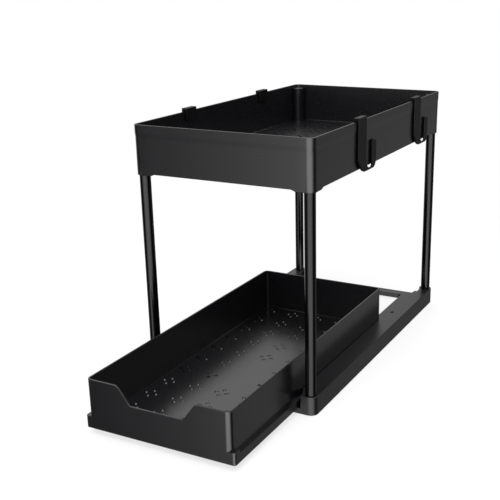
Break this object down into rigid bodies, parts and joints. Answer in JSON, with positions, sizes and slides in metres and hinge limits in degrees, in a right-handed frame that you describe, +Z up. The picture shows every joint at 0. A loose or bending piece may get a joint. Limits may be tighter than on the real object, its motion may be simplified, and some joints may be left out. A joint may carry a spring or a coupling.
{
  "type": "under sink organizer",
  "caption": "Two-tier organizer: an open tray on corner posts over a base frame with a slide-out drawer, and hooks over the tray's rims.",
  "frame": {"origin": "on the floor, below the middle of the bounding box at rest, with the drawer part way out", "axes": "+Y from the drawer's front to the organizer's back, +X to the right as seen from the front, +Z up"},
  "size_m": [0.225, 0.5336, 0.3085],
  "materials": {
    "frame_plastic": "moulded, satin gloss",
    "drawer_plastic": "moulded, satin gloss",
    "tray_plastic": "moulded, satin gloss",
    "post_tube": "glossy black enamel",
    "pad_rubber": "matt",
    "hook_plastic": "moulded, satin gloss"
  },
  "bodies": {
    "stand": {"base_frame": "frame_plastic", "post_front_left": "post_tube", "post_front_right": "post_tube", "post_back_left": "post_tube", "post_back_right": "post_tube", "pad_front_left": "pad_rubber", "pad_front_right": "pad_rubber", "pad_back_left": "pad_rubber", "pad_back_right": "pad_rubber", "upper_tray": "tray_plastic"},
    "sliding_drawer": {"drawer": "drawer_plastic"},
    "clip_right_front": {"hook_right_front": "hook_plastic"},
    "clip_right_back": {"hook_right_back": "hook_plastic"},
    "clip_left_front": {"hook_left_front": "hook_plastic"},
    "clip_left_back": {"hook_left_back": "hook_plastic"}
  },
  "joints": [
    {"name": "drawer_slide", "type": "slide", "parent": "stand", "child": "sliding_drawer", "axis": [0, -1, 0], "range_m": [-0.1345, 0.1235]},
    {"name": "hook_right_front_slide", "type": "slide", "parent": "stand", "child": "clip_right_front", "axis": [0, 1, 0], "range_m": [-0.088, 0.06]},
    {"name": "hook_right_back_slide", "type": "slide", "parent": "stand", "child": "clip_right_back", "axis": [0, 1, 0], "range_m": [-0.06, 0.055]},
    {"name": "hook_left_front_slide", "type": "slide", "parent": "stand", "child": "clip_left_front", "axis": [0, 1, 0], "range_m": [-0.07, 0.055]},
    {"name": "hook_left_back_slide", "type": "slide", "parent": "stand", "child": "clip_left_back", "axis": [0, 1, 0], "range_m": [-0.06, 0.07]}
  ]
}
